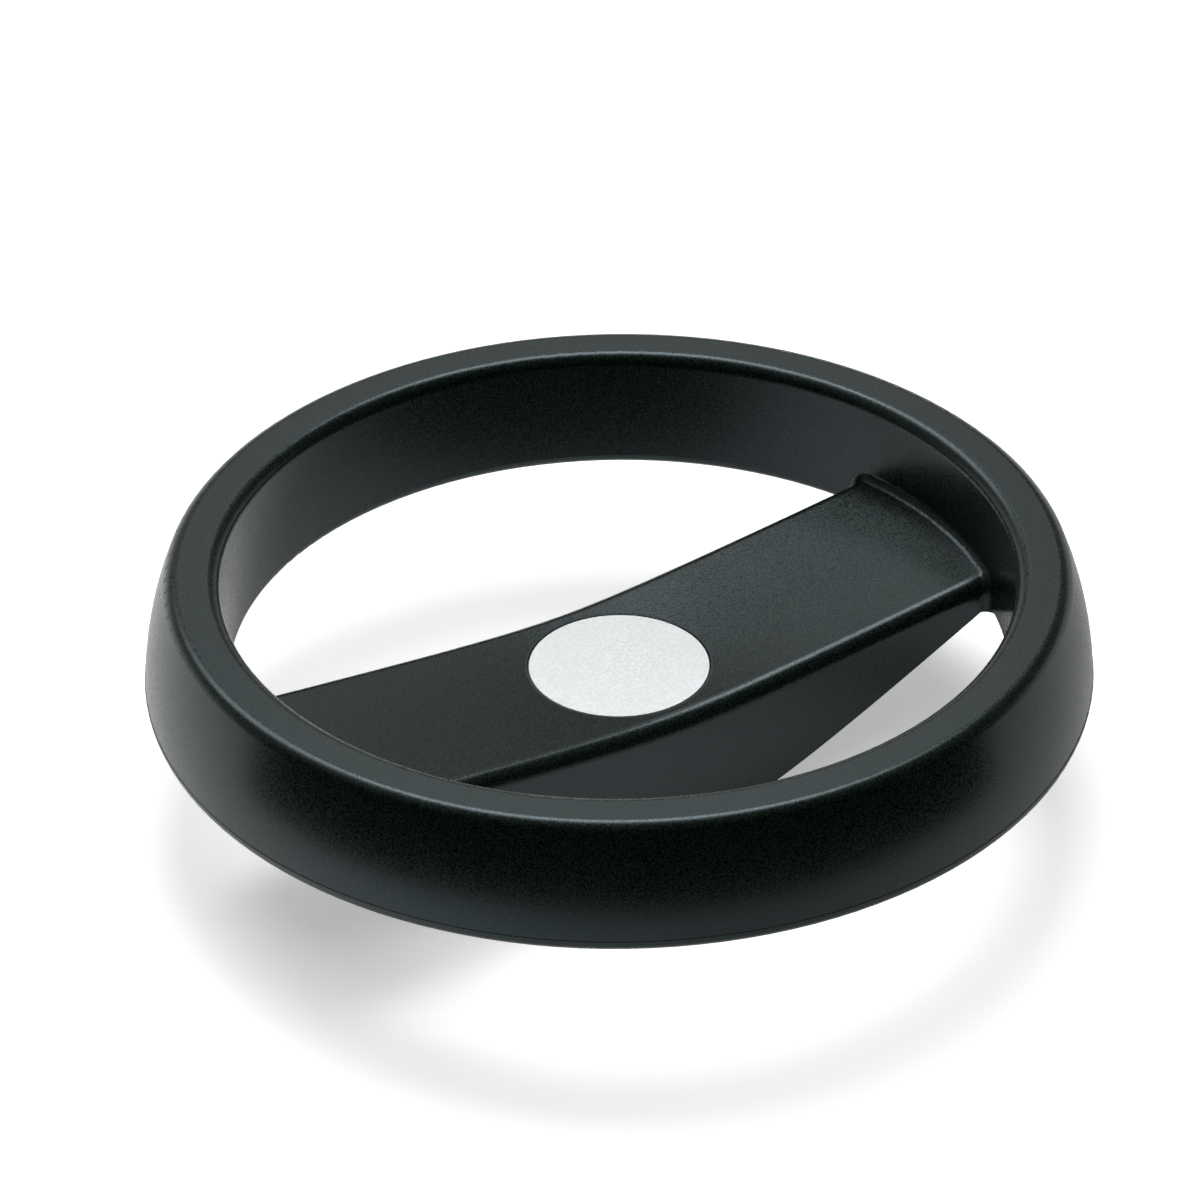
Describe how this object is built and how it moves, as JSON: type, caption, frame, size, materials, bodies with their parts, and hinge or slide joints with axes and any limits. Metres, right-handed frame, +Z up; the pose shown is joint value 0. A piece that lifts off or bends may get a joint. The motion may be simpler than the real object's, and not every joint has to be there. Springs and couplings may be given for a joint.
{
  "type": "machine handwheel",
  "caption": "Spoked machine handwheel: a tapered rim stands above a cored, wedge-shaped spoke bar, with a bored steel bush and a flush cover disc in the hub.",
  "frame": {"origin": "centre of the hub's foot, the face that rests on the spindle's shoulder", "axes": "+Z up the spindle's axis to the cover disc, +X along one spoke"},
  "size_m": [0.16, 0.16, 0.0459],
  "materials": {
    "black_polyamide": "black, fine spark-eroded grain with a soft sheen",
    "turned_steel": "turned, lightly blackened",
    "satin_aluminium": "fine satin, natural anodised"
  },
  "bodies": {
    "root": {"wheel_body": "black_polyamide", "hub_bush": "turned_steel", "hub_cap": "satin_aluminium"}
  },
  "joints": []
}
